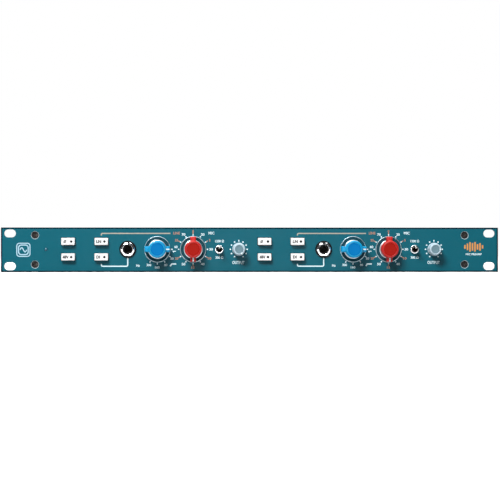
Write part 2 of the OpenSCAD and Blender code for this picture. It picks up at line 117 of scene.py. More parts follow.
def in_scene(name, data):
    """New object that holds data."""
    thing = bpy.data.objects.new(name, data)
    bpy.context.scene.collection.objects.link(thing)
    return thing


def point_at(thing, place, aim):
    """Puts a camera or a light at place, facing aim. Both are in metres."""
    thing.location = place
    sight = Vector(aim) - Vector(place)
    thing.rotation_euler = sight.to_track_quat("-Z", "Y").to_euler()
    return sight.length


# ---- camera ----

# These three are in metres
CAMERA_PLACE = (-0.078, -2.0, 0.0)
AIM = (-0.00062, FACE_Y * MM, -0.00018)
FRAME_WIDTH = 0.485  # what the picture spans across the front panel
SENSOR = 36.0


def make_camera():
    data = bpy.data.cameras.new("camera")
    camera = in_scene("camera", data)
    distance = point_at(camera, CAMERA_PLACE, AIM)
    data.sensor_width = SENSOR
    data.lens = SENSOR * distance / FRAME_WIDTH
    data.clip_start = 0.05
    data.clip_end = 60
    bpy.context.scene.camera = camera


make_camera()

# ---- outlines ----


def rounded(corners, closed=True, steps=4):
    """Points along a line of corners (x, y, radius), with each corner drawn as an arc."""
    points = []
    count = len(corners)
    for i, (x, y, radius) in enumerate(corners):
        here = Vector((x, y))
        if radius <= 0 or (not closed and i in (0, count - 1)):
            points.append(here)
            continue
        back = (Vector(corners[i - 1][:2]) - here).normalized()
        on = (Vector(corners[(i + 1) % count][:2]) - here).normalized()
        half = back.angle(on) / 2
        centre = here + (back + on).normalized() * radius / math.sin(half)
        first = here + back * radius / math.tan(half) - centre
        last = here + on * radius / math.tan(half) - centre
        start = math.atan2(first.y, first.x)
        sweep = math.atan2(first.cross(last), first.dot(last))
        for k in range(steps + 1):
            angle = start + sweep * k / steps
            points.append(centre + Vector((math.cos(angle), math.sin(angle))) * radius)
    return points


def box_outline(width, height, radius, steps=5):
    a, b = width / 2, height / 2
    return rounded([(a, b, radius), (-a, b, radius), (-a, -b, radius), (a, -b, radius)],
                   steps=steps)


def circle(radius, steps=64, centre=(0, 0)):
    x, y = centre
    turn = 2 * math.pi / steps
    return [Vector((x + radius * math.cos(k * turn), y + radius * math.sin(k * turn)))
            for k in range(steps)]


def slot_outline(width, height, centre, steps=12):
    """A slot with round ends; the longer of width and height is its length end to end."""
    radius = min(width, height) / 2 - 0.005
    return moved(box_outline(width, height, radius, steps), *centre)


def cross_outline(reach, arm):
    """Plus-shaped recess of a cross-head screw."""
    a, b = arm / 2, reach
    corners = [(b, a), (a, a), (a, b), (-a, b), (-a, a), (-b, a),
               (-b, -a), (-a, -a), (-a, -b), (a, -b), (a, -a), (b, -a)]
    return rounded([(x, y, 0.08) for x, y in corners], steps=2)


def moved(points, u, v):
    return [p + Vector((u, v)) for p in points]


def dome(radius, rise, low, steps):
    """Profile of a dome from its edge almost to its top."""
    angles = [math.pi / 2 * k / steps for k in range(steps)]
    return [(radius * math.cos(a), low + rise * math.sin(a)) for a in angles]


# ---- forms ----


class Form:
    """Points and faces gathered for one piece, in metres in the row frame."""

    def __init__(self, place=None):
        self.points = []
        self.faces = []
        self.place = place

    def at(self, place):
        self.place = place
        return self

    def add(self, points, faces):
        first = len(self.points)
        self.points += [self.place @ Vector(p) for p in points]
        self.faces += [tuple(first + i for i in face) for face in faces]


def level(outline, w):
    """An outline as a ring at height w."""
    return [(u, v, w) for u, v in outline]


def loft(form, rings, closed=False, open_end=False):
    """Covers a row of rings with the same number of points, each point (u, v, w). A closed row
    goes on from its last ring to its first."""
    count = len(rings[0])
    faces = []
    for i in range(len(rings) - (0 if closed else 1)):
        j = (i + 1) % len(rings)
        for k in range(count):
            m = (k + 1) % count
            faces.append((i * count + k, i * count + m, j * count + m, j * count + k))
    if not closed:
        faces.append(tuple(reversed(range(count))))
        if not open_end:
            faces.append(tuple((len(rings) - 1) * count + k for k in range(count)))
    form.add([p for ring in rings for p in ring], faces)


def lathe(form, profile, steps=64, closed=False, open_end=False, shape=None):
    """Turns a profile of (radius, w) about the w axis. shape may give another radius for an angle,
    a radius and a height."""
    angles = [2 * math.pi / steps * k for k in range(steps)]
    rings = []
    for r, w in profile:
        reach = [shape(a, r, w) if shape else r for a in angles]
        rings.append([(q * math.cos(a), q * math.sin(a), w) for q, a in zip(reach, angles)])
    loft(form, rings, closed, open_end)


def pillow(form, width, height, corner, layers):
    """Block with rounded corners whose outline is drawn in by (inset, w) at each layer."""
    rings = []
    for inset, w in layers:
        outline = box_outline(width - 2 * inset, height - 2 * inset, max(corner - inset, 0.05))
        rings.append(level(outline, w))
    loft(form, rings)


def edge_layers(low, high, radius, steps=3):
    """Layers for pillow: a block from low to high whose upper edge is rounded."""
    layers = [(0, low)]
    for k in range(steps + 1):
        angle = math.pi / 2 * k / steps
        layers.append((radius * (1 - math.cos(angle)), high - radius * (1 - math.sin(angle))))
    return layers


def mesh_of(name, data):
    """The mesh that a curve or text makes."""
    holder = in_scene(name, data)
    graph = bpy.context.evaluated_depsgraph_get()
    mesh = bpy.data.meshes.new_from_object(holder.evaluated_get(graph))
    bpy.data.objects.remove(holder)
    bpy.data.curves.remove(data)
    return mesh


def add_mesh(form, mesh, place_point):
    """Adds a mesh to a form, each of its points put through place_point."""
    form.add([place_point(v.co) for v in mesh.vertices], [tuple(f.vertices) for f in mesh.polygons])
    bpy.data.meshes.remove(mesh)


def plate(form, outline, holes, low, high, bevel):
    """Flat plate with holes right through it and every edge rounded."""
    data = bpy.data.curves.new("outline", "CURVE")
    data.dimensions = "2D"
    data.fill_mode = "BOTH"
    data.extrude = (high - low) / 2 - bevel
    data.bevel_depth = bevel
    data.bevel_resolution = 1
    data.offset = -bevel
    for points in [outline, *holes]:
        spline = data.splines.new("POLY")
        spline.points.add(len(points) - 1)
        for target, point in zip(spline.points, points):
            target.co = (point[0], point[1], 0, 1)
        spline.use_cyclic_u = True
    rise = (low + high) / 2
    add_mesh(form, mesh_of("outline", data), lambda p: (p.x, p.y, p.z + rise))


INK_RISE = 0.04
CAPITAL = 0.682  # height of a capital letter at size 1


def text(form, words, height, width=None, u=0.0, v=0.0, w=0.0, weight=0.035):
    """Letters with capitals of that height, centred at (u, v), standing INK_RISE out of w. They
    are stretched to width where it is given."""
    data = bpy.data.curves.new("letters", "FONT")
    data.body = words
    data.size = height / CAPITAL
    data.extrude = INK_RISE / 2
    data.resolution_u = 3
    data.offset = height * weight
    mesh = mesh_of("letters", data)
    across = [p.co.x for p in mesh.vertices]
    left, right = min(across), max(across)
    stretch = width / (right - left) if width else 1.0
    add_mesh(form, mesh, lambda p: ((p.x - (left + right) / 2) * stretch + u,
                                    p.y - height / 2 + v, p.z + w + INK_RISE / 2))


def ink_disc(form, radius, u=0.0, v=0.0, w=0.0):
    outline = circle(radius, 28, (u, v))
    loft(form, [level(outline, w), level(outline, w + INK_RISE)])


def ink_ring(form, outer, inner, w=0.0):
    """Printed band between two outlines with the same number of points."""
    loft(form, [level(outer, w), level(outer, w + INK_RISE), level(inner, w + INK_RISE),
                level(inner, w)], closed=True)


def stroke(form, points, width, w=0.0):
    """Printed line of even width along points, with square ends."""
    rings = []
    for i, p in enumerate(points):
        before = points[max(i - 1, 0)]
        after = points[min(i + 1, len(points) - 1)]
        along = (Vector(after) - Vector(before)).normalized()
        across = Vector((-along.y, along.x)) * width / 2
        left, right = Vector(p) + across, Vector(p) - across
        rings.append(level([left, right], w) + level([right, left], w + INK_RISE))
    loft(form, rings)


def clock(hours):
    """Direction of an hour on a clock face."""
    angle = math.radians(90 - 30 * hours)
    return Vector((math.cos(angle), math.sin(angle)))


def tick(form, hours, near, far, width):
    """Short printed line that points away from the middle, at an hour of the clock."""
    way = clock(hours)
    stroke(form, [way * near, way * far], width)


WELD = 1e-7  # in metres: points nearer than this are one point


def make(name, form, material, body, replaces=(), crease=38):
    """Turns a form into a piece that rides on a CAD body. Edges of more than crease degrees stay
    sharp."""
    mesh = bpy.data.meshes.new(name)
    mesh.from_pydata(form.points, [], form.faces)
    mesh.materials.append(material)
    work = bmesh.new()
    work.from_mesh(mesh)
    bmesh.ops.remove_doubles(work, verts=work.verts, dist=WELD)
    loose = [v for v in work.verts if not v.link_faces]
    bmesh.ops.delete(work, geom=loose, context="VERTS")
    bmesh.ops.recalc_face_normals(work, faces=work.faces)
    for face in work.faces:
        face.smooth = True
    for edge in work.edges:
        if len(edge.link_faces) == 2:
            edge.smooth = edge.calc_face_angle() < math.radians(crease)
    work.to_mesh(mesh)
    work.free()
    piece = in_scene(name, mesh)
    weigh = piece.modifiers.new("even_normals", "WEIGHTED_NORMAL")
    weigh.keep_sharp = True
    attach(piece, body)
    if replaces:
        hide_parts(*replaces)


# ---- materials ----

# Sockets of a Mix node that mixes colours: their names aren't unique, so they go by number
MIX_FROM, MIX_TO, MIX_RESULT = 6, 7, 2


class Nodes:
    """Short ways to add nodes to a material or a world."""

    def __init__(self, owner):
        owner.use_nodes = True
        self.tree = owner.node_tree
        self.link = owner.node_tree.links.new

    def new(self, kind, **settings):
        node = self.tree.nodes.new(kind)
        for setting, value in settings.items():
            setattr(node, setting, value)
        return node

    def mix(self, factor, start, end):
        """Mix of two colours, either of which may be another node's output."""
        node = self.new("ShaderNodeMix", data_type="RGBA")
        self.link(factor, node.inputs["Factor"])
        for place, value in ((MIX_FROM, start), (MIX_TO, end)):
            if isinstance(value, bpy.types.NodeSocket):
                self.link(value, node.inputs[place])
            else:
                node.inputs[place].default_value = (*value, 1)
        return node.outputs[MIX_RESULT]

    def spread(self, value, from_range, to_range):
        """A value mapped from one range to another."""
        node = self.new("ShaderNodeMapRange")
        names = ("From Min", "From Max", "To Min", "To Max")
        for name, number in zip(names, (*from_range, *to_range)):
            node.inputs[name].default_value = number
        self.link(value, node.inputs["Value"])
        return node.outputs["Result"]

    def noise(self, place, scale, detail):
        node = self.new("ShaderNodeTexNoise")
        node.inputs["Scale"].default_value = scale
        node.inputs["Detail"].default_value = detail
        node.inputs["Roughness"].default_value = 0.6
        self.link(place, node.inputs["Vector"])
        return node.outputs["Fac"]

    def maths(self, operation, *values):
        node = self.new("ShaderNodeMath", operation=operation)
        for value, socket in zip(values, node.inputs):
            self.link(value, socket)
        return node.outputs["Value"]


def surface(name, colour, rough, second=None, metallic=0.0, patch=200, mix=0.5, rough_spread=0.06,
            grain=3000, bump=0.1, depth=2e-5, stretch=(1, 1, 1), specular=0.5, coat=0.0,
            coat_rough=0.15, edge=None):
    """Procedural finish: patchy colour, uneven roughness and a fine grain in relief.
    patch and grain are the sizes of the noises, in waves to the metre, and depth is in metres.
    edge is the colour on sharp edges: worn finish on the black parts, and a painted highlight on the red, blue and
    light grey knob plastics."""
    material = bpy.data.materials.new(name)
    nodes = Nodes(material)
    shader = nodes.tree.nodes["Principled BSDF"]
    for socket, value in (("Metallic", metallic), ("Specular IOR Level", specular),
                          ("Coat Weight", coat), ("Coat Roughness", coat_rough)):
        shader.inputs[socket].default_value = value
    mapping = nodes.new("ShaderNodeMapping")
    mapping.inputs["Scale"].default_value = stretch
    nodes.link(nodes.new("ShaderNodeTexCoord").outputs["Object"], mapping.inputs["Vector"])
    place = mapping.outputs["Vector"]
    patches = nodes.spread(nodes.noise(place, patch, 4), (0.35, 0.65), (0, mix))
    paint = nodes.mix(patches, colour, second or [c * 0.8 for c in colour])
    # Lighter colour on sharp edges: wear on the black finishes, a painted highlight on the knob plastics.
    if edge:
        sharpness = nodes.new("ShaderNodeNewGeometry").outputs["Pointiness"]
        paint = nodes.mix(nodes.spread(sharpness, (0.53, 0.62), (0, 0.55)), paint, edge)
    nodes.link(paint, shader.inputs["Base Color"])
    uneven = nodes.noise(place, patch * 5, 5)
    rough_range = (max(rough - rough_spread, 0.02), rough + rough_spread)
    nodes.link(nodes.spread(uneven, (0, 1), rough_range), shader.inputs["Roughness"])
    bumps = nodes.new("ShaderNodeBump")
    bumps.inputs["Strength"].default_value = bump
    bumps.inputs["Distance"].default_value = depth
    nodes.link(nodes.noise(place, grain, 3), bumps.inputs["Height"])
    nodes.link(bumps.outputs["Normal"], shader.inputs["Normal"])
    return material


def metal(name, colour, rough, **finish):
    return surface(name, colour, rough, metallic=1.0, **finish)


def ink(name, colour, second=None, patch=300, specular=0.5):
    return surface(name, colour, 0.5, second, patch=patch, grain=5000, specular=specular)


TEAL = (0.0010, 0.079, 0.110)
PAINT = surface("panel_paint", TEAL, 0.34, second=(0.002, 0.086, 0.118), patch=9, grain=1800,
                depth=3e-5, specular=0.10)
# Painted shade: a near-black band along the panel's edges and their chamfer, darker than the panel's own paint.
PAINTED_SHADE_EDGE = surface("panel_edge_painted_shade", (0.0006, 0.012, 0.022), 0.7, patch=30, grain=1800,
                     specular=0.0)
# Painted shade: the dial dishes are painted darker than the panel, for the shade in the recess round each knob.
SHADED_DISH_PAINT = surface("dial_dish_painted_shade", (0.010, 0.056, 0.075), 0.4, patch=40, grain=1800,
                     bump=0.08, specular=0.15)
POWDER = surface("black_powder_coat", (0.018, 0.018, 0.020), 0.52, second=(0.024, 0.024, 0.026),
                 patch=25, grain=1500, bump=0.5, depth=8e-5, specular=0.35,
                 edge=(0.09, 0.09, 0.09))
WHITE_INK = ink("white_ink", (0.60, 0.74, 0.78), (0.55, 0.69, 0.74), patch=400)
BLUE_INK = ink("pale_blue_ink", (0.33, 0.51, 0.61))
ORANGE_INK = ink("orange_ink", (0.52, 0.215, 0.035), (0.46, 0.19, 0.03))
COPPER_INK = ink("copper_ink", (0.36, 0.165, 0.095), (0.32, 0.15, 0.085))
BEIGE_INK = ink("beige_ink", (0.31, 0.27, 0.21), (0.25, 0.25, 0.21), patch=200)
BLACK_INK = ink("black_ink", (0.004, 0.004, 0.005), patch=400, specular=0.1)
# The edge colours of the red, blue and light grey knob plastics are painted highlights: a lighter colour along
# their sharp edges.
RED = surface("red_plastic", (0.38, 0.009, 0.007), 0.34, second=(0.34, 0.008, 0.006), patch=220,
              grain=3500, bump=0.12, specular=0.26, edge=(0.55, 0.05, 0.04))
BLUE = surface("blue_plastic", (0.0, 0.23, 0.45), 0.34, second=(0.0, 0.215, 0.41), patch=220,
               grain=3500, bump=0.12, specular=0.26, edge=(0.03, 0.38, 0.70))
RED_CAP = surface("red_cap_plastic", (0.275, 0.008, 0.004), 0.40, second=(0.26, 0.007, 0.004),
                  patch=260, bump=0.2, specular=0.05)
BLUE_CAP = surface("blue_cap_plastic", (0.0, 0.132, 0.355), 0.40, second=(0.0, 0.130, 0.35),
                   patch=260, bump=0.2, specular=0.05)
LIGHT_GREY = surface("light_grey_plastic", (0.36, 0.46, 0.52), 0.42, second=(0.33, 0.43, 0.49),
                     patch=260, grain=3500, bump=0.15, specular=0.3, edge=(0.70, 0.80, 0.84))
CAP_GREY = surface("grey_cap_plastic", (0.12, 0.20, 0.235), 0.45, patch=260, bump=0.2,
                   specular=0.2)
WHITE = surface("white_plastic", (0.66, 0.66, 0.66), 0.30, second=(0.63, 0.635, 0.64), patch=180,
                bump=0.08)
CHROME = metal("bright_nickel", (0.86, 0.86, 0.88), 0.09, second=(0.78, 0.78, 0.80), patch=300,
               rough_spread=0.04, grain=4000, bump=0.05, depth=1e-5)
TURNED = metal("turned_aluminium", (0.56, 0.62, 0.66), 0.36, second=(0.50, 0.56, 0.60), patch=400,
               grain=6000, depth=1e-5)
BARE = surface("bare_cut_metal", (0.34, 0.42, 0.45), 0.5, metallic=0.2, patch=400, grain=5000,
               bump=0.15)
# Painted shade: the toggle bushings' nickel is darkened nearly to black, round the lever's bore.
SHADED_NICKEL = metal("nickel_painted_shade", (0.06, 0.058, 0.055), 0.28, patch=300, grain=4000)
# Painted shade: the lever's nickel is darkened far below its own colour, to a dark reflection.
SHADED_LEVER = metal("lever_nickel_painted_shade", (0.36, 0.35, 0.33), 0.12, patch=300, grain=4000, bump=0.05,
              depth=1e-5)
RIM = metal("turned_rim", (0.36, 0.46, 0.50), 0.33, second=(0.32, 0.42, 0.46), patch=400,
            grain=6000, depth=1e-5)
BLACK_GLOSS = surface("black_washer", (0.004, 0.004, 0.004), 0.30, bump=0.06, specular=0.06)
BLACK_MATT = surface("black_moulding", (0.006, 0.006, 0.007), 0.5, patch=150, grain=2500, bump=0.3,
                     depth=4e-5, specular=0.2)
DARK = surface("deep_black", (0.002, 0.002, 0.002), 0.7, patch=150, grain=2500, bump=0.2,
               specular=0.2)
BLACK_OXIDE = surface("black_oxide", (0.007, 0.006, 0.006), 0.34, patch=500, grain=4000, bump=0.15,
                      specular=0.15, edge=(0.10, 0.09, 0.08))
ZINC = metal("zinc_plate", (0.58, 0.58, 0.55), 0.30, second=(0.50, 0.49, 0.44), patch=120)
GOLD = metal("gold_plate", (0.83, 0.60, 0.25), 0.20, patch=300, bump=0.05)
LENS = surface("lamp_lens", (0.0, 0.07, 0.11), 0.12, bump=0.03, specular=0.35, coat=0.2,
               coat_rough=0.05)
SOCKET = surface("socket_shell", (0.016, 0.016, 0.017), 0.38, patch=120, grain=2200, bump=0.25,
                 depth=4e-5, edge=(0.10, 0.10, 0.10))
INSERT = surface("socket_insert", (0.028, 0.030, 0.032), 0.5, grain=2500, bump=0.2)
RESIST = surface("solder_resist", (0.008, 0.085, 0.035), 0.28, second=(0.012, 0.12, 0.05),
                 patch=350, mix=0.9, grain=1400, bump=0.4, depth=5e-5, coat=0.2)
SLEEVE = surface("capacitor_sleeve", (0.012, 0.030, 0.11), 0.25, patch=120, grain=2500, bump=0.05,
                 coat=0.3)
ANODISED = surface("black_anodised", (0.016, 0.016, 0.018), 0.36, metallic=0.4, patch=100,
                   edge=(0.14, 0.14, 0.15))
VARNISH = surface("varnished_steel", (0.045, 0.040, 0.036), 0.38, second=(0.065, 0.055, 0.045),
                  patch=80, grain=1200, bump=0.3, stretch=(1, 14, 1), coat=0.15)
BRAID = surface("loom_braid", (0.020, 0.020, 0.023), 0.6, patch=400, grain=1800, bump=0.9,
                depth=2e-4, stretch=(1, 1, 2.4))


def finish_node(node, material):
    """Gives a CAD node that stays in view its material."""
    mesh = NODES[node].data
    mesh.materials.clear()
    mesh.materials.append(material)
    for polygon in mesh.polygons:
        polygon.material_index = 0


# ---- front panel ----

SLOTS = MOUNTS["rack_ears"]["dims"]
SCREW_LOW, SCREW_HIGH = ends("panel_screws")
SCREW_HEAD = 3.75
SCREW_PLACES = [(x, z) for x in (SCREW_LOW.x + SCREW_HEAD, SCREW_HIGH.x - SCREW_HEAD)
                for z in (SCREW_LOW.z + SCREW_HEAD, SCREW_HIGH.z - SCREW_HEAD)]
BUTTONS = [f"{kind}_button_{ch}" for ch in CHANNELS for kind in ("phase", "phantom", "line", "di")]
GAP = 0.35  # round a button in its window
CONTROL_HOLES = {"gain_shaft": 4.85, "filter_shaft": 4.85, "output_shaft": 3.55,
                 "toggle_lever": 3.25}
JACK_HOLE = 4.85
LAMP_HOLE = 1.6
LAMP = middle("power_led")
BORDER = 1.35  # width of the band of painted shade along the panel's edges
BORDER_PROFILE = ((BORDER + 0.02, -0.3), (BORDER - 0.06, -0.1), (0.3, -0.14), (0.1, -0.3),
                  (0, -0.6), (0, 0.2 - PANEL_T), (0.2, -PANEL_T), (BORDER + 0.02, -PANEL_T))
COUNTERSINK = 3.9
SINK_PROFILE = ((COUNTERSINK + 0.03, -0.1), (COUNTERSINK - 0.08, -0.1), (3.36, -0.66), (3.3, -1.2),
                (COUNTERSINK + 0.03, -1.2))


def panel_holes():
    holes = []
    size = (SLOTS["slot_length_mm"], 2 * SLOTS["hole_r_mm"])
    for sx in (-0.5, 0.5):
        for sz in (-0.5, 0.5):
            spot = (sx * SLOTS["spacing_x_mm"], sz * SLOTS["spacing_y_mm"])
            holes.append(slot_outline(*size, spot))
    holes += [circle(COUNTERSINK, 40, place) for place in SCREW_PLACES]
    for button in BUTTONS:
        low, high = ends(button)
        at = middle(button)
        outline = box_outline(high.x - low.x + 2 * GAP, high.z - low.z + 2 * GAP, 0.9)
        holes.append(moved(outline, at.x, at.z))
    for ch in CHANNELS:
        for node, radius in CONTROL_HOLES.items():
            holes.append(circle(radius, 40, (axis_x(f"{node}_{ch}"), CONTROL_Z)))
        jack = mount_place(f"di_input_{ch}")
        holes.append(circle(JACK_HOLE, 40, (jack.x, jack.z)))
    holes.append(circle(LAMP_HOLE, 24, (LAMP.x, LAMP.z)))
    return holes


def make_front_panel():
    """Painted plate, a band of painted shade along its edges and over their chamfer, and the bare countersinks in
    it.
    """
    place = front(0, 0)
    plain, border, sinks = Form(place), Form(place), Form()
    width, height = PANEL_HIGH.x - PANEL_LOW.x, PANEL_HIGH.z - PANEL_LOW.z

    def outline(inset):
        return box_outline(width - 2 * inset, height - 2 * inset, 0.3, 3)

    plate(plain, outline(BORDER), panel_holes(), -PANEL_T, 0, 0.12)
    loft(border, [level(outline(inset), w) for inset, w in BORDER_PROFILE], closed=True)
    for spot in SCREW_PLACES:
        lathe(sinks.at(front(*spot)), SINK_PROFILE, 64, closed=True)
    make("panel_plate", plain, PAINT, CASE, ["front_panel"], crease=50)
    make("panel_border_painted_shade", border, PAINTED_SHADE_EDGE, CASE, crease=30)
    make("panel_countersinks", sinks, BARE, CASE, crease=30)


def make_panel_screws():
    """Countersunk cross-head screws: a head with its recess, a cone and a shank."""
    form = Form()
    for x, z in SCREW_PLACES:
        form.at(turned(front(x, z), 38 + 0.9 * x % 40))
        plate(form, circle(3.42, 48), [cross_outline(2.0, 1.0)], -1.1, -0.35, 0.16)
        lathe(form, [(3.2, -1.1), (2.0, -2.1), (1.95, -9.0), (1.6, -9.2)], 32)
    make("panel_screw_set", form, BLACK_OXIDE, CASE, ["panel_screws"])


def make_lamp():
    """Lens with a low dome, and the lamp's body behind it."""
    form = Form(front(LAMP.x, LAMP.z))
    body = [(1.95, -7.1), (1.95, -3.4), (1.5, -3.4)]
    lathe(form, body + dome(1.5, 0.8, 0.1, 8) + [(0.05, 0.9)], 32)
    make("power_lamp_lens", form, LENS, CASE, ["power_led"])


# ---- printing on the panel ----

HOURS = range(1, 13)
MIC_GAINS = {1: "20", 3: "30", 5: "40", 7: "50", 9: "60", 11: "70"}
LINE_GAINS = {12: "0", 2: "5", 4: "10", 6: "15", 8: "20", 10: "25"}
FILTER_MARKS = {3: "", 4: "50", 5: "80", 6: "160", 7: "300"}
FIGURE = 2.2  # height of most figures
TICK = (13.3, 14.6, 1.05)  # of the gain dial: where a tick starts and ends, and its width
COPPER_TICK = (14.7, 16.4, 0.85)
FILTER_TICK = (13.2, 14.8, 1.0)
TRACE_W = 1.05
TRACE_Z = 15.9  # height of the printed signal lines above and below the middle


def print_gain_dial(white, copper, ch):
    """White microphone gains at the odd hours, and copper line gains at the even ones."""
    place = front(axis_x(f"gain_shaft_{ch}"))
    white.at(place)
    copper.at(place)
    for hour in HOURS:
        tick(white, hour, *TICK)
        way = clock(hour)
        if hour in LINE_GAINS:
            tick(copper, hour, *COPPER_TICK)
            label = LINE_GAINS[hour]
            text(copper, label, 2.1, 3.1 if len(label) > 1 else None, way.x * 18.5, way.y * 17.6)
        elif hour == 9:  # set higher, clear of the filter dial's mark
            text(white, MIC_GAINS[hour], FIGURE, 3.3, -16.6, 2.3)
        else:
            aside = math.copysign(1.2, way.x)
            text(white, MIC_GAINS[hour], FIGURE, 3.5, way.x * 16.2 + aside, way.y * 16.6)


def print_filter_dial(white, ch):
    white.at(front(axis_x(f"filter_shaft_{ch}")))
    for hour, label in FILTER_MARKS.items():
        way = clock(hour)
        tick(white, hour, *FILTER_TICK)
        if label:
            text(white, label, 2.1, 1.5 * len(label), way.x * 16.4, way.y * 17.2 - 0.3)
    stroke(white, [(14.9, -1.5), (15.8, -3.1)], 0.7)
    stroke(white, [(15.6, -1.9), (18.0, -1.9)], 0.7)
    slope = rounded([(12.4, -16.4, 0), (13.9, -14.2, 0.8), (18.2, -14.2, 0)], closed=False)
    stroke(white, slope, 1.2)
    text(white, "Hz", FIGURE, 3.4, -18.7, -15.7)


def print_signal_lines(white, beige, ch):
    """From the line button over the filter dial, and from the instrument button to the jack."""
    button = middle(f"line_button_{ch}").x
    jack = mount_place(f"di_input_{ch}").x
    dial = axis_x(f"filter_shaft_{ch}")
    beige.at(front(0, 0))
    white.at(front(0, 0))
    upper = [(button, TRACE_Z - 2.0, 0), (button, TRACE_Z, 1.1), (dial + 12.6, TRACE_Z, 0)]
    lower = [(button, -TRACE_Z + 2.3, 0), (button, -TRACE_Z, 1.2), (jack, -TRACE_Z, 1.2),
             (jack, CONTROL_Z - 8.3, 0)]
    stroke(beige, rounded(upper, closed=False), 1.15)
    stroke(white, rounded(lower, closed=False), TRACE_W)


def print_words(white, copper, ch):
    gain = axis_x(f"gain_shaft_{ch}")
    toggle = axis_x(f"toggle_lever_{ch}")
    output = axis_x(f"output_shaft_{ch}")
    white.at(front(0, 0))
    copper.at(front(0, 0))
    text(copper, "LINE", 2.3, 6.4, gain - 16.0, 16.2)
    text(white, "MIC", 2.4, 5.7, gain + 17.8, 16.2)
    text(white, "1200 Ω", FIGURE, 8.4, toggle + 0.3, 8.4)
    text(white, "300 Ω", FIGURE, 7.6, toggle + 0.2, -7.5)
    text(white, "OUTPUT", 2.7, 12.0, output - 0.3, -12.3)


def print_output_dots(white, ch):
    white.at(front(axis_x(f"output_shaft_{ch}")))
    for hour in (7, 8, 9, 10, 11, 1, 2, 3, 4, 5):
        way = clock(hour) * 8.15
        ink_disc(white, 0.72, way.x, way.y)
    tick(white, 12, 7.5, 9.1, 1.0)


MARK_X = 12.9 - SLOTS["spacing_x_mm"] / 2
BARS_X = 217.5
BARS_RISE = 2.9  # of the bars' middle above the panel's
BAR_PITCH = 2.45
BAR_HEIGHTS = (3.6, 6.4, 9.2, 7.4, 9.2, 5.2, 7.2, 3.2)


def print_wave_mark(blue):
    """A wave in two square frames."""
    for size, width in ((13.6, 0.9), (10.2, 1.0)):
        inside = size - 2 * width
        ink_ring(blue, moved(box_outline(size, size, 3.0, 6), MARK_X, 0),
                 moved(box_outline(inside, inside, 3.0 - width, 6), MARK_X, 0))
    steps = 24
    wave = [(MARK_X - 3.2 + 6.4 * k / steps, 2.1 * math.sin(2 * math.pi * k / steps))
            for k in range(steps + 1)]
    stroke(blue, wave, 0.9)


def print_level_bars(white, orange):
    """A row of bars over the words for what this is."""
    for k, height in enumerate(BAR_HEIGHTS):
        u = BARS_X + (k - (len(BAR_HEIGHTS) - 1) / 2) * BAR_PITCH
        stroke(orange, [(u, BARS_RISE - height / 2), (u, BARS_RISE + height / 2)], 1.5)
    text(white, "MIC PREAMP", 1.75, 15.6, BARS_X, -4.3)


def make_printing():
    inks = {"white": WHITE_INK, "orange": ORANGE_INK, "copper": COPPER_INK, "beige": BEIGE_INK,
            "blue": BLUE_INK}
    forms = {name: Form(front(0, 0)) for name in inks}
    white, copper = forms["white"], forms["copper"]
    for ch in CHANNELS:
        print_gain_dial(white, copper, ch)
        print_filter_dial(white, ch)
        print_signal_lines(white, forms["beige"], ch)
        print_words(white, copper, ch)
        print_output_dots(white, ch)
    print_wave_mark(forms["blue"])
    print_level_bars(white.at(front(0, 0)), forms["orange"])
    for name, form in forms.items():
        make(f"print_{name}", form, inks[name], CASE)


# ---- dials and winged knobs ----

RING_R = 12.7
DISH = [(12.15, 1.25), (11.6, 0.95), (10.4, 0.5), (9.3, 0.22), (8.0, 0.15), (4.9, 0.15)]
KNOB_TOP = -ends("gain_knob_1")[0].y + FACE_Y
WING_REACH = (ends("gain_knob_1")[1].z - ends("gain_knob_1")[0].z) / 2 - 0.02
WING_TOP = KNOB_TOP - 3.6
WING_HALF = 2.95
BODY_R = 8.5
CAP_R = 6.3


def make_dials():
    rims, dishes = Form(), Form()
    rim = rounded([(RING_R, 0.0, 0), (RING_R, 1.5, 0.28), (12.15, 1.5, 0.28), (11.95, 1.1, 0.1),
                   (11.95, 0.0, 0)])
    for ch in CHANNELS:
        for kind in ("gain", "filter"):
            place = front(axis_x(f"{kind}_shaft_{ch}"))
            lathe(rims.at(place), rim, 128, closed=True)
            lathe(dishes.at(place), DISH + [(4.9, 0.02), (12.1, 0.02)], 96, closed=True)
    make("dial_rims", rims, RIM, CASE, ["dial_rings"], crease=60)
    make("dial_dishes", dishes, SHADED_DISH_PAINT, CASE, crease=60)


def winged_outline(body, half, reach, fillet, corner):
    """Quarter by quarter: along the wing's end and side, round the fillet and the body."""
    cx = math.sqrt((body + fillet) ** 2 - (half + fillet) ** 2)
    quarter = [Vector((reach, half * t)) for t in (0.0, 0.22, 0.5)]
    for k in range(5):
        a = math.pi / 2 * k / 4
        quarter.append(Vector((reach - corner + corner * math.cos(a),
                               half - corner + corner * math.sin(a))))
    quarter.append(Vector(((reach - corner + cx) / 2, half)))
    low = math.atan2(half + fillet, cx)
    for k in range(5):
        a = 1.5 * math.pi - (math.pi / 2 - low) * k / 4
        quarter.append(Vector((cx + fillet * math.cos(a), half + fillet + fillet * math.sin(a))))
    for k in range(1, 10):
        a = low + (math.pi / 2 - low) * k / 9
        quarter.append(Vector((body * math.cos(a), body * math.sin(a))))
    mirrored = [Vector((-p.x, p.y)) for p in reversed(quarter[:-1])]
    upper = quarter + mirrored
    return upper + [-p for p in upper[1:-1]]


def ring_at(outline, w, limit=None):
    """The outline at height w, drawn in to a circle where it reaches past limit."""
    ring = []
    for p in outline:
        r = p.length
        q = p * (min(r, limit) / r) if limit else p
        ring.append((q.x, q.y, w))
    return ring


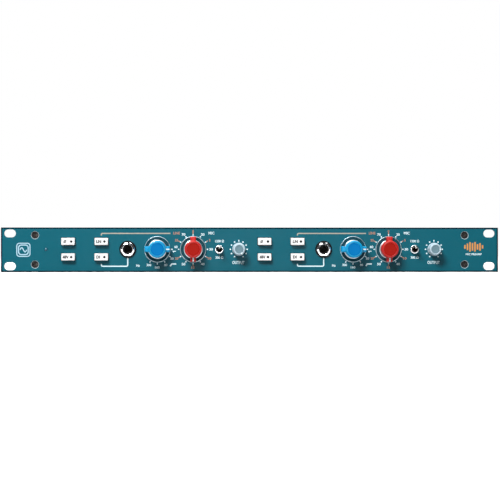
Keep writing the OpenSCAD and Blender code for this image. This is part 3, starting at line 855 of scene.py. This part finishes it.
def winged_knob(form):
    """Round body with two wings along u, from a narrow foot to a wide rounded shoulder."""
    def wings(narrower, shorter, body=8.4, fillet=0.7, corner=0.8):
        return winged_outline(body, WING_HALF - narrower, WING_REACH - shorter, fillet, corner)

    full = wings(0, 0, BODY_R, 0.8, 0.7)
    rings = [ring_at(full, 1.3, 8.4), ring_at(full, 2.2, 8.5),
             ring_at(wings(0.3, 0.4, BODY_R, 0.8, 0.6), 2.3),
             ring_at(wings(0.05, 0.1, BODY_R, 0.8, 0.7), 2.5), ring_at(full, 2.9),
             ring_at(wings(0.1, 0.05, 8.44, 0.8, 0.8), WING_TOP - 4.0)]
    for k in range(6):
        a = math.pi / 2 * k / 5
        drawn_in, rise = 1 - math.cos(a), math.sin(a)
        rings.append(ring_at(wings(0.15 + 0.75 * drawn_in, 0.1 + 1.7 * drawn_in),
                             WING_TOP - 1.9 + 1.9 * rise))
    top = wings(0.9, 1.8)
    rings += [ring_at(top, WING_TOP + 0.01, 9.2), ring_at(top, WING_TOP + 0.12, 8.65),
              ring_at(top, WING_TOP + 0.4, 8.42)]
    shoulder = rounded([(8.38, WING_TOP + 0.8, 0), (8.28, KNOB_TOP, 1.5),
                        (CAP_R + 0.1, KNOB_TOP, 0.35), (CAP_R + 0.05, KNOB_TOP - 0.9, 0)],
                       closed=False, steps=6)
    rings += [ring_at(top, p.y, p.x) for p in shoulder]
    loft(form, rings)


def wing_pointer(form):
    """Inlaid line down the knob's shoulder, along the top of a wing and over its end."""
    path = rounded([(7.7, KNOB_TOP - 0.55, 0), (8.48, KNOB_TOP - 1.6, 0.5),
                    (8.5, WING_TOP + 0.06, 0.3), (WING_REACH - 0.45, WING_TOP + 0.06, 1.6),
                    (WING_REACH + 0.02, 6.5, 0)], closed=False, steps=6)
    rings = []
    for i, p in enumerate(path):
        before, after = path[max(i - 1, 0)], path[min(i + 1, len(path) - 1)]
        along = (after - before).normalized()
        out = Vector((along.y, -along.x))
        if out.x + out.y < 0:
            out = -out
        outer, inner = p + out * 0.06, p - out * 0.35
        rings.append([(outer.x, -0.62, outer.y), (outer.x, 0.62, outer.y),
                      (inner.x, 0.62, inner.y), (inner.x, -0.62, inner.y)])
    loft(form, rings)


def cap_disc(form, radius, top, dish=0.12):
    profile = [(radius, top - 0.9), (radius, top - 0.42), (radius - 0.06, top - 0.34),
               (radius - 0.18, top - 0.3)]
    profile += [((radius - 0.3) * (1 - t), top - 0.3 - dish * t * (2 - t)) for t in (0.1, 0.3, 0.6)]
    lathe(form, profile + [(0.1, top - 0.3 - dish)], 64)


def make_winged_knob(kind, ch, clock_angle, plastic, cap_plastic):
    body = f"{kind}_dial_{ch}"
    place = turned(front(axis_x(f"{kind}_shaft_{ch}")), clock_angle)
    knob, pointer, collar, cap = (Form(place) for _ in range(4))
    winged_knob(knob)
    wing_pointer(pointer)
    ring = rounded([(9.05, 1.2, 0.15), (9.05, 3.0, 0.35), (8.2, 3.2, 0), (8.2, 1.2, 0)])
    lathe(collar, ring, 96, closed=True)
    cap_disc(cap, CAP_R - 0.05, KNOB_TOP)
    make(f"{kind}_knob_body_{ch}", knob, plastic, body, [f"{kind}_knob_{ch}"], crease=42)
    make(f"{kind}_knob_pointer_{ch}", pointer, WHITE_INK, body, crease=50)
    make(f"{kind}_knob_collar_{ch}", collar, TURNED, body, crease=50)
    make(f"{kind}_knob_disc_{ch}", cap, cap_plastic, body, [f"{kind}_knob_cap_{ch}"])


# ---- output knobs ----

OUTPUT_TOP = -ends("output_knob_1")[0].y + FACE_Y
OUTPUT_R = (ends("output_knob_1")[1].x - ends("output_knob_1")[0].x) / 2
FLUTES = 24
OUTPUT_POINTERS = {1: -60, 2: 0}  # degrees from 3 o'clock, anticlockwise


def output_profile():
    """From a wide foot up the tapering side and over the edge, into the recess for the cap."""
    r, top = OUTPUT_R, OUTPUT_TOP
    return rounded([(r - 0.3, 0.6, 0), (r, 0.8, 0), (r, 2.2, 0.3), (r - 0.25, 2.6, 0.2),
                    (r - 0.28, 3.1, 0), (r - 0.4, 5.5, 0), (r - 0.6, 9.0, 0),
                    (r - 0.75, top - 2.3, 0), (r - 0.8, top - 1.6, 0), (r - 0.85, top, 0.9),
                    (4.15, top, 0.3), (3.98, top - 0.9, 0)], closed=False)


def make_output_knob(ch):
    body = f"output_dial_{ch}"
    place = turned(front(axis_x(f"output_shaft_{ch}")), OUTPUT_POINTERS[ch])
    knob, pointer, cap = (Form(place) for _ in range(3))
    low, high = 2.8, OUTPUT_TOP - 1.9

    def fluted(angle, r, w):
        depth = 0.32 if low < w < high else 0.0
        return r - depth * (0.5 - 0.5 * math.cos(FLUTES * angle)) ** 2

    lathe(knob, output_profile(), 8 * FLUTES, shape=fluted)
    top = OUTPUT_TOP
    path = [(4.2, top - 0.02), (5.0, top - 0.02), (5.45, top - 0.3), (5.62, top - 0.9),
            (5.75, top - 3.0), (6.0, 6.0)]
    rings = [[(r + 0.12, -0.5, w + 0.04), (r + 0.12, 0.5, w + 0.04), (r - 0.4, 0.5, w - 0.25),
              (r - 0.4, -0.5, w - 0.25)] for r, w in path]
    loft(pointer, rings)
    cap_disc(cap, 3.9, OUTPUT_TOP, 0.2)
    make(f"output_knob_body_{ch}", knob, LIGHT_GREY, body, [f"output_knob_{ch}"],
         crease=50)
    make(f"output_knob_pointer_{ch}", pointer, WHITE_INK, body, crease=50)
    make(f"output_knob_disc_{ch}", cap, CAP_GREY, body, [f"output_knob_cap_{ch}"])


# ---- buttons ----

LEGENDS = {"phase": "", "phantom": "48V", "line": "LN", "di": "DI"}
LEGEND_WIDTHS = {"phantom": 5.8, "line": 4.8, "di": 3.6}
LEGEND_PLACES = {"phantom": -2.3, "line": -2.4, "di": -2.9}
CAP_DRAFT = 0.30  # how far a cap's sides draw in towards its face


def crossed_circle(form, w):
    """The sign for reversed phase: a ring with a slash through it."""
    ink_ring(form, circle(1.25, 32, (-3.0, 0)), circle(0.7, 32, (-3.0, 0)), w)
    stroke(form, [(-4.4, -1.6), (-1.6, 1.6)], 0.5, w)


def make_button(kind, ch):
    node = f"{kind}_button_{ch}"
    body = f"{kind}_push_{ch}"
    low, high = ends(node)
    at = middle(node)
    width, height = high.x - low.x, high.z - low.z
    rise = FACE_Y - low.y
    place = front(at.x, at.z)
    cap, legend, dot = Form(place), Form(place), Form(shifted(place, 3.1, 0))
    top = rise - INK_RISE - 0.01
    layers = [(CAP_DRAFT + inset, w) for inset, w in edge_layers(0.4, top, 0.5, 5)]
    pillow(cap, width, height, 0.9, [(0, -PANEL_T - 1), (0, -0.4)] + layers)
    pillow(cap, 4, 3, 0.3, [(0, -PANEL_T - 9), (0, -PANEL_T - 1)])
    label = LEGENDS[kind]
    if label:
        text(legend, label, 2.6, LEGEND_WIDTHS[kind], LEGEND_PLACES[kind], 0.0, rise - INK_RISE,
             weight=0.065)
    else:
        crossed_circle(legend, rise - INK_RISE)
    ink_disc(dot, 1.2, 0, 0, rise - INK_RISE)
    make(f"{kind}_button_cap_{ch}", cap, WHITE, body, [node], crease=45)
    make(f"{kind}_button_legend_{ch}", legend, BLACK_INK, body)
    make(f"{kind}_button_dot_{ch}", dot, BLACK_INK, body)


# ---- jacks and toggles ----

NUT_FLATS = 12.6
NUT_PROFILE = ((20, 1.2), (20, 2.35), (7.05, 2.75), (6.75, 3.02), (6.35, 3.27), (5.9, 3.48),
               (5.4, 3.65), (4.95, 3.76), (4.8, 3.7), (4.75, 3.4), (4.75, 1.2))


def hex_radius(angle, limit, w):
    """From a nut's middle to its edge: flats above and below, corners eased, within a limit."""
    sector = (angle + math.pi / 6) % (math.pi / 3) - math.pi / 6
    sharp = NUT_FLATS / 2 / math.cos(math.pi / 6 - abs(sector))
    return min(sharp, NUT_FLATS / math.sqrt(3) - 0.35, limit)


def thread_profile(radius, depth, low, high, pitch):
    points = []
    w = low
    while w < high - pitch:
        points += [(radius - depth, w), (radius, w + pitch / 2)]
        w += pitch
    return points


def make_jacks():
    washers, nuts, bushings, bores = (Form() for _ in range(4))
    washer = rounded([(8.2, 0.0, 0), (8.2, 0.75, 0.3), (7.6, 1.2, 0.4), (4.75, 1.2, 0),
                      (4.75, 0, 0)])
    bushing = thread_profile(4.7, 0.28, -PANEL_T - 1, 3.6, 0.75)
    bushing += [(4.6, 3.7), (4.45, 4.15), (4.2, 4.2), (3.6, 4.2), (3.3, 4.0), (3.22, 3.6),
                (3.22, -PANEL_T - 1)]
    bore = [(3.9, 3.2), (3.3, 3.2), (3.21, 3.0), (3.21, -22), (3.6, -22), (3.9, -22)]
    for ch in CHANNELS:
        at = mount_place(f"di_input_{ch}")
        place = front(at.x, at.z)
        lathe(washers.at(place), washer, 96, closed=True)
        lathe(nuts.at(place), NUT_PROFILE, 96, closed=True, shape=hex_radius)
        lathe(bushings.at(place), bushing, 72, closed=True)
        lathe(bores.at(place), bore, 48, closed=True)
        lathe(bores, [(3.3, -22), (3.2, -21.5), (1.4, -21.4), (0.2, -21.4)], 48)
        pillow(bores, 16, 21, 0.8, [(0.6, -28.2), (0, -27.6), (0, -PANEL_T - 0.5), (0.4, -PANEL_T)])
    make("jack_washer_set", washers, BLACK_GLOSS, CASE, ["jack_washers"], crease=60)
    make("jack_nut_set", nuts, CHROME, CASE, ["jack_nuts"], crease=28)
    make("jack_bushings", bushings, BLACK_GLOSS, CASE, crease=40)
    make("jack_bodies", bores, DARK, CASE, ["di_jacks"], crease=40)


KNURLS = 30


def knurled(angle, r, w):
    depth = 0.1 if 0.3 < w < 1.9 else 0.0
    return r - depth * (0.5 + 0.5 * math.cos(KNURLS * angle))


def make_toggle_bases():
    nuts, bushings, insides = (Form() for _ in range(3))
    nut = rounded([(4.2, 0.0, 0), (4.28, 0.2, 0), (4.28, 2.0, 0.2), (3.7, 2.75, 0.5),
                   (3.25, 2.75, 0.1), (3.15, 2.4, 0), (3.15, 0.0, 0)], closed=False)
    bushing = thread_profile(3.1, 0.2, -PANEL_T - 1, 5.9, 0.5)
    bushing += [(3.0, 5.9), (2.9, 6.3), (2.75, 6.4), (2.5, 6.4), (2.42, 6.2), (2.4, -PANEL_T - 5),
                (3.0, -PANEL_T - 5)]
    for ch in CHANNELS:
        place = front(axis_x(f"toggle_lever_{ch}"))
        lathe(nuts.at(place), nut, 4 * KNURLS, closed=True, shape=knurled)
        lathe(bushings.at(place), bushing, 64, closed=True)
        # Painted shade: a black cone inside the bushing stands for the shade down the bore.
        lathe(insides.at(place), [(2.38, 2.2), (2.36, 1.6), (0.6, -0.5), (0.2, -0.6)], 40)
        pillow(insides, 7.6, 13, 0.5, [(0.4, -PANEL_T - 10), (0, -PANEL_T - 9.6),
                                       (0, -PANEL_T - 0.4), (0.3, -PANEL_T)])
    make("toggle_nut_set", nuts, CHROME, CASE, ["toggle_nuts"], crease=35)
    make("toggle_bushings", bushings, SHADED_NICKEL, CASE, crease=40)
    make("toggle_bodies", insides, DARK, CASE, ["toggle_switches"], crease=40)


def make_toggle_lever(ch):
    """Bat lever, thin at its neck and full at its round tip, thrown upwards from its pivot."""
    joint = JOINTS[f"impedance_toggle_{ch}"]
    pivot = Vector(joint["pos_m"]) / MM
    throw = joint["range_deg"][1] / 2
    upright = shifted(front(pivot.x, pivot.z), 0, 0, FACE_Y - pivot.y)
    form = Form(turned(upright, -throw, "X"))
    foot = [(0.85, -4.4), (0.9, -4.2), (0.9, -1.9)]
    ball = [(1.88 * math.cos(a), 1.88 * math.sin(a)) for a in map(math.radians, range(-60, 41, 20))]
    neck = [(1.08, 1.9), (1.05, 3.0), (1.12, 5.0), (1.28, 7.2), (1.44, 8.8)]
    lathe(form, foot + ball + neck + dome(1.5, 1.5, 9.5, 9) + [(0.04, 11.0)], 40)
    make(f"toggle_bat_{ch}", form, SHADED_LEVER, f"toggle_{ch}",
         [f"toggle_lever_{ch}"], crease=60)


# ---- rear sockets ----

SOCKET_PITCH_R = MOUNTS["output_1"]["dims"]["pcd_mm"] / 2
FLANGE = (25.9, 30.9)  # width and height
SCREW_OFFSET = (9.5, 12.0)
FEMALE = [f"{kind}_{ch}" for ch in CHANNELS for kind in ("mic_input", "line_input")]
MALE = ["output_1", "output_2", "power_inlet"]
SHELL_R = 11.5
SHELL_END = -21.9


def contact_places(name):
    count = MOUNTS[name]["dims"]["count"]
    start = 30 if count == 3 else 45
    for k in range(count):
        angle = math.radians(start + k * 360 / count)
        yield SOCKET_PITCH_R * math.cos(angle), SOCKET_PITCH_R * math.sin(angle)


def screw_spots():
    """Where a socket's two screws are, about its middle."""
    return [(s * SCREW_OFFSET[0], -s * SCREW_OFFSET[1]) for s in (-1, 1)]


def socket_shell(form, lip, bore, back, notches):
    """Flange and shell round a bore, with a wide lip in front and a back wall behind."""
    holes = [circle(bore + 0.03, 72)] + [circle(1.55, 24, spot) for spot in screw_spots()] + notches
    plate(form, box_outline(*FLANGE, 4.0, 8), holes, 0, 2.2, 0.3)
    shell = rounded([(SHELL_R, 2.0, 0), (11.2, 3.0, 0.3), (lip, 3.0, 0.3), (bore, 2.4, 0),
                     (bore, -11, 0), (back, -11.5, 0), (back, SHELL_END, 0.3),
                     (SHELL_R, SHELL_END, 0.5)], steps=3)
    lathe(form, shell, 72, closed=True)


def female_socket(shells, inserts, contacts, place, spots):
    latch_notch = moved(box_outline(8.6, 5.0, 0.5, 3), 0, 11.65)
    socket_shell(shells.at(place), 9.9, 9.62, 8.0, [latch_notch])
    holes = [circle(1.35, 24, spot) for spot in spots]
    plate(inserts.at(place), circle(7.45, 64), holes, -8, 2.0, 0.35)
    for spot in spots:
        tube = [(1.33, 1.2), (1.33, -8), (1.0, -8), (1.0, 1.2)]
        lathe(contacts.at(shifted(place, *spot)), tube, 24, closed=True)


def male_socket(shells, inserts, contacts, place, spots):
    socket_shell(shells.at(place), 8.4, 8.02, 7.0, [])
    lathe(inserts.at(place), [(8.0, -14), (8.0, -11), (2.0, -10.9), (0.2, -10.9)], 48)
    for spot in spots:
        pin = [(1.2, -11.5), (1.2, 0.4), (1.1, 0.85), (0.85, 1.15), (0.4, 1.2), (0.1, 1.2)]
        lathe(contacts.at(shifted(place, *spot)), pin, 24)


def make_sockets():
    for group, names, nodes, build_one in (
            ("input", FEMALE, ["input_sockets"], female_socket),
            ("output", MALE, ["output_sockets", "power_inlet"], male_socket)):
        shells, inserts, contacts = (Form() for _ in range(3))
        for name in names:
            spots = list(contact_places(name))
            build_one(shells, inserts, contacts, rear(mount_place(name).x), spots)
        make(f"{group}_socket_shells", shells, SOCKET, CASE, nodes, crease=40)
        make(f"{group}_socket_inserts", inserts, INSERT, CASE, crease=40)
        make(f"{group}_socket_contacts", contacts, GOLD, CASE, crease=40)


def make_latch(kind, ch):
    """Pressed-steel tab with a ribbed thumb face, in the notch above a female socket."""
    node = f"{kind}_latch_{ch}"
    low, high = ends(node)
    at = middle(node)
    form = Form(rear(at.x, at.z))
    out = high.y - REAR_Y
    width, height = high.x - low.x, high.z - low.z
    pillow(form, width, height, 0.5, edge_layers(low.y - REAR_Y, out - 0.25, 0.4, 3))
    for k in range(4):
        v = (k - 1.5) * 0.8
        rib = moved(box_outline(width - 1.6, 0.36, 0.16, 2), 0, v)
        loft(form, [level(rib, out - 0.3), level(rib, out)])
    make(f"{kind}_latch_tab_{ch}", form, ZINC, f"{kind}_release_{ch}", [node],
         crease=40)


# ---- case ----

SHEET = 1.2
COVER_LOW, COVER_HIGH = ends("top_cover")
COVER_SCREW_INSET = 2.65  # from the outermost screw's centre to its head's edge
VENT_COUNT = 13
VENT_PITCH = 8.5
VENT = (3.0, 40.0)  # width and length
VENT_ROWS = (92, 142)  # how far behind the rack's rails their middles are
CHANNEL_X = {ch: mount_place(f"line_input_{ch}").x for ch in CHANNELS}
COVER_SCREW_ROWS = 5
REAR_HEAD_R = 2.8  # of a pan-head screw


def cover_screw_places():
    low, high = ends("cover_screws")
    near, far = low.y + COVER_SCREW_INSET, high.y - COVER_SCREW_INSET
    for x in (low.x + COVER_SCREW_INSET, high.x - COVER_SCREW_INSET):
        for k in range(COVER_SCREW_ROWS):
            yield x, near + (far - near) * k / (COVER_SCREW_ROWS - 1)


def make_cover():
    form = Form(above(0, 0, COVER_LOW.z))
    width, depth = COVER_HIGH.x - COVER_LOW.x, COVER_HIGH.y - COVER_LOW.y
    outline = moved(box_outline(width, depth, 1.0, 3), 0, (COVER_LOW.y + COVER_HIGH.y) / 2)
    holes = [circle(2.75, 28, place) for place in cover_screw_places()]
    for ch in CHANNELS:
        for row in VENT_ROWS:
            for k in range(VENT_COUNT):
                x = CHANNEL_X[ch] + (k - (VENT_COUNT - 1) / 2) * VENT_PITCH
                holes.append(slot_outline(*VENT, (x, row), 5))
    plate(form, outline, holes, 0, SHEET, 0.2)
    make("cover_plate", form, POWDER, CASE, ["top_cover"], crease=40)


def make_cover_screws():
    screws = Form()
    for i, (x, y) in enumerate(cover_screw_places()):
        screws.at(turned(above(x, y, COVER_HIGH.z), 31 * i % 90))
        plate(screws, circle(2.6, 32), [cross_outline(1.5, 0.75)], -0.6, -0.05, 0.1)
        lathe(screws, [(2.2, -0.61), (1.45, -1.2), (1.45, -6.8), (1.2, -7.0)], 20)
        lathe(screws, [(1.7, -0.6), (0.2, -0.59)], 16)
    make("cover_screw_set", screws, BLACK_OXIDE, CASE, ["cover_screws"])


def make_rear_panel():
    low, high = ends("rear_panel")
    centre = (low.z + high.z) / 2
    form = Form(rear(0, centre))
    holes = []
    for name in FEMALE + MALE:
        x = mount_place(name).x
        holes.append(moved(circle(11.8, 48), -x, -centre))
        holes += [moved(circle(1.6, 16), u - x, v - centre) for u, v in screw_spots()]
    plate(form, box_outline(high.x - low.x, high.z - low.z, 0.6, 3), holes, -1.5, 0, 0.2)
    make("rear_plate", form, POWDER, CASE, ["rear_panel"], crease=40)


def make_rear_screws():
    """Pan-head screws: two through each socket's flange and two at each end of the panel."""
    form = Form()
    spots = []
    for name in FEMALE + MALE:
        x = mount_place(name).x
        spots += [(x - u, v, 2.2) for u, v in screw_spots()]
    edge = ends("rear_screws")[1].x - REAR_HEAD_R
    spots += [(x, z, 0.0) for x in (-edge, edge) for z in (-12, 12)]
    head = rounded([(REAR_HEAD_R, 0, 0), (REAR_HEAD_R, 0.9, 0.5), (2.0, 1.6, 0.8), (1.95, 1.7, 0)],
                   closed=False, steps=3)
    for i, (x, z, rise) in enumerate(spots):
        form.at(turned(shifted(rear(x, z), 0, 0, rise), 23 * i % 90))
        lathe(form, head, 32, open_end=True)
        plate(form, circle(2.0, 32), [cross_outline(1.45, 0.7)], 1.2, 1.75, 0.1)
        lathe(form, [(1.7, 1.0), (0.2, 1.02)], 16)
        lathe(form, [(1.45, -5.8), (1.45, 0.0)], 16)
    make("rear_screw_set", form, BLACK_OXIDE, CASE, ["rear_screws"])


def finish_case():
    for material, nodes in ((POWDER, ["chassis_tray"]),
                            (ZINC, ["gain_switches", "filter_switches", "output_pots",
                                    "control_nuts", "board_standoffs"]),
                            (BLACK_MATT, ["button_switches"]), (RESIST, ["amp_boards"]),
                            (SLEEVE, ["board_capacitors"]), (ANODISED, ["power_transistors"]),
                            (VARNISH, ["audio_transformers"]), (BRAID, ["wiring_looms"])):
        for node in nodes:
            finish_node(node, material)
    for ch in CHANNELS:
        for kind in ("gain", "filter", "output"):
            finish_node(f"{kind}_shaft_{ch}", ZINC)


# ---- stage and light ----

# From here on, places and sizes are in metres
FLOOR_SIZE = 9.0
FADE = (0.5, 1.6)  # from where to where the floor fades into plain white
SHADE = (0.30, 0.30, 0.30)  # how much light the floor throws back onto the object


def make_stage():
    """White paper that fades into plain white at a distance, and throws little light back."""
    paper = surface("white_paper", (0.93, 0.93, 0.93), 0.75, second=(0.91, 0.91, 0.91), patch=3,
                    grain=900, bump=0.02, specular=0.1)
    nodes = Nodes(paper)
    shader = nodes.tree.nodes["Principled BSDF"]
    ray = nodes.new("ShaderNodeLightPath").outputs
    looked_at = nodes.maths("MAXIMUM", ray["Is Camera Ray"], ray["Is Glossy Ray"])
    white = shader.inputs["Base Color"].links[0].from_socket
    nodes.link(nodes.mix(looked_at, SHADE, white), shader.inputs["Base Color"])
    distance = nodes.new("ShaderNodeVectorMath", operation="LENGTH")
    nodes.link(nodes.new("ShaderNodeTexCoord").outputs["Object"], distance.inputs[0])
    fade = nodes.spread(distance.outputs["Value"], FADE, (0, 1))
    shader.inputs["Emission Color"].default_value = (1, 1, 1, 1)
    glow = nodes.maths("MULTIPLY", fade, ray["Is Camera Ray"])
    nodes.link(glow, shader.inputs["Emission Strength"])
    mesh = bpy.data.meshes.new("floor")
    half = FLOOR_SIZE / 2
    mesh.from_pydata([(-half, -half, 0), (half, -half, 0), (half, half, 0), (-half, half, 0)], [],
                     [(0, 1, 2, 3)])
    mesh.materials.append(paper)
    floor = in_scene("floor", mesh)
    floor.location = (0, 0, PANEL_LOW.z * MM)


def softbox(name, power, size, place, aim, sheen_only=False):
    data = bpy.data.lights.new(name, "AREA")
    data.shape = "RECTANGLE"
    data.size, data.size_y = size
    data.energy = power
    light = in_scene(name, data)
    light.visible_diffuse = not sheen_only
    point_at(light, place, aim)


def make_world():
    """White behind everything, and only a dim grey where it lights the object or is mirrored."""
    world = bpy.data.worlds.new("studio")
    bpy.context.scene.world = world
    nodes = Nodes(world)
    backdrop = nodes.tree.nodes["Background"]
    lighting = nodes.new("ShaderNodeBackground")
    for shader, colour, strength in ((backdrop, (1, 1, 1, 1), 1.0),
                                     (lighting, (0.9, 0.95, 1.0, 1), 0.09)):
        shader.inputs["Color"].default_value = colour
        shader.inputs["Strength"].default_value = strength
    seen = nodes.new("ShaderNodeLightPath").outputs["Is Camera Ray"]
    choice = nodes.new("ShaderNodeMixShader")
    for value, socket in zip((seen, lighting.outputs[0], backdrop.outputs[0]), choice.inputs):
        nodes.link(value, socket)
    nodes.link(choice.outputs["Shader"], nodes.tree.nodes["World Output"].inputs["Surface"])


def make_lights():
    softbox("overhead", 20, (1.8, 0.6), (0, -0.25, 1.25), (0, -0.2, 0))
    softbox("key", 54, (0.6, 0.45), (-0.55, -1.35, 1.2), (0, 0, 0))
    softbox("front_glow", 6, (0.3, 0.3), (0.08, -2.3, 0.06), (0, 0, 0), sheen_only=True)
    softbox("back_rim", 12, (1.6, 0.5), (0, 2.0, 1.2), (0, 0.1, 0))


def build():
    make_front_panel()
    make_panel_screws()
    make_lamp()
    make_printing()
    make_dials()
    for ch in CHANNELS:
        make_winged_knob("gain", ch, -90, RED, RED_CAP)
        make_winged_knob("filter", ch, 0, BLUE, BLUE_CAP)
        make_output_knob(ch)
        make_toggle_lever(ch)
        for kind in LEGENDS:
            make_button(kind, ch)
        for kind in ("mic", "line"):
            make_latch(kind, ch)
    make_jacks()
    make_toggle_bases()
    make_sockets()
    make_cover()
    make_cover_screws()
    make_rear_panel()
    make_rear_screws()
    finish_case()


build()
make_stage()
make_world()
make_lights()
bpy.context.scene.view_settings.view_transform = "Standard"
